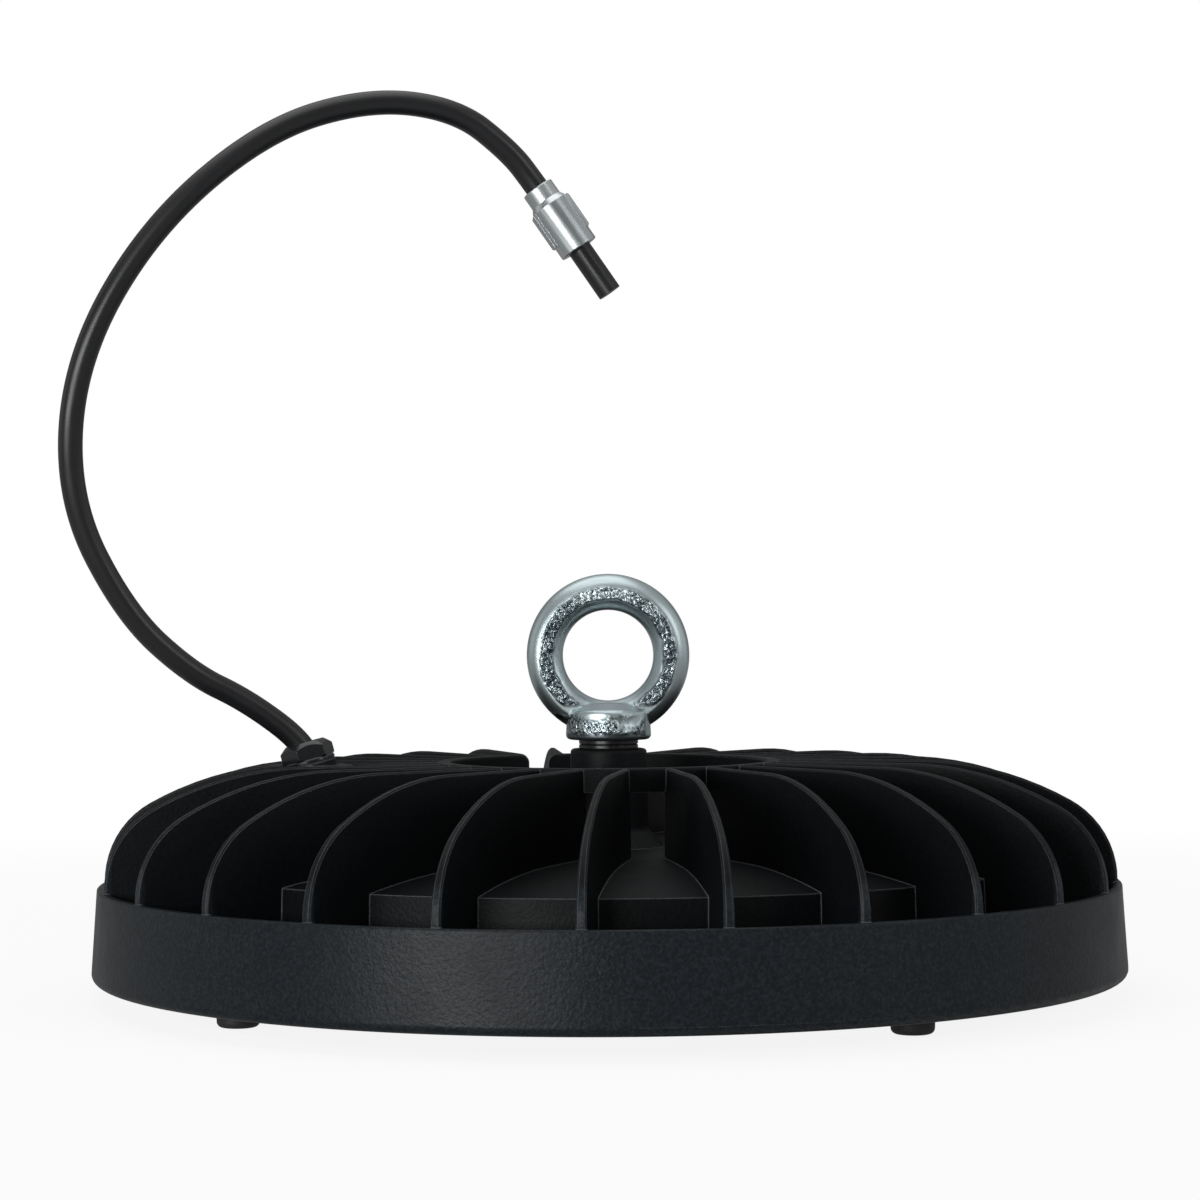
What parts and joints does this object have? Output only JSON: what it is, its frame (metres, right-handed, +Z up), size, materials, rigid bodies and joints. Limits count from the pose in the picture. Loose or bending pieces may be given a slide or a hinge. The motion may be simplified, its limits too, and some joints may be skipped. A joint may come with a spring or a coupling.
{
  "type": "high bay light",
  "caption": "Round industrial high bay light: finned die-cast housing with a skirt, lifting eye on a central hub, cable gland with a short supply lead, and a lensed LED underside on feet.",
  "frame": {"origin": "on the light's vertical axis, in the plane of the undersides of the feet", "axes": "+Z up along the axis through the hub and the lifting eye; -Y is the pictured side; +X is to its right, so the cable gland is on -X; the lifting eye's hole runs along Y"},
  "size_m": [0.3445, 0.3396, 0.294],
  "materials": {
    "powder_coat": "fine-grained satin black powder coat on die-cast aluminium",
    "zinc_steel": "bright zinc plating on forged steel",
    "black_plastic": "satin black nylon",
    "gland_plastic": "satin dark grey nylon",
    "black_rubber": "black moulded rubber",
    "cable_rubber": "smooth black cable sheath",
    "sleeve_metal": "satin turned aluminium",
    "clear_lens": "clear moulded polycarbonate",
    "screw_steel": "zinc-plated steel",
    "bare_aluminium": "bare machined aluminium",
    "board_white": "white solder mask on aluminium",
    "led_phosphor": "yellow phosphor under clear resin",
    "potting": "black potting compound",
    "terminal_white": "white nylon",
    "brass_screw": "plain brass"
  },
  "bodies": {
    "root": {"heatsink_housing": "powder_coat", "eye_bolt": "zinc_steel", "hub_spacer": "black_plastic", "gland_gasket": "black_rubber", "gland_body": "gland_plastic", "gland_seal": "black_rubber", "gland_nut": "gland_plastic", "supply_lead": "cable_rubber", "lead_sleeve": "sleeve_metal", "lens_cover": "clear_lens", "lens_gasket": "black_rubber", "lens_ring": "powder_coat", "lens_ring_screws": "screw_steel", "feet": "black_rubber", "base_plate": "bare_aluminium", "base_plate_screws": "screw_steel", "led_board": "board_white", "led_board_screws": "screw_steel", "led_packages": "led_phosphor", "driver_case": "bare_aluminium", "driver_potting": "potting", "driver_cover": "black_plastic", "driver_screws": "screw_steel", "terminal_block": "terminal_white", "terminal_screws": "brass_screw"}
  },
  "joints": []
}
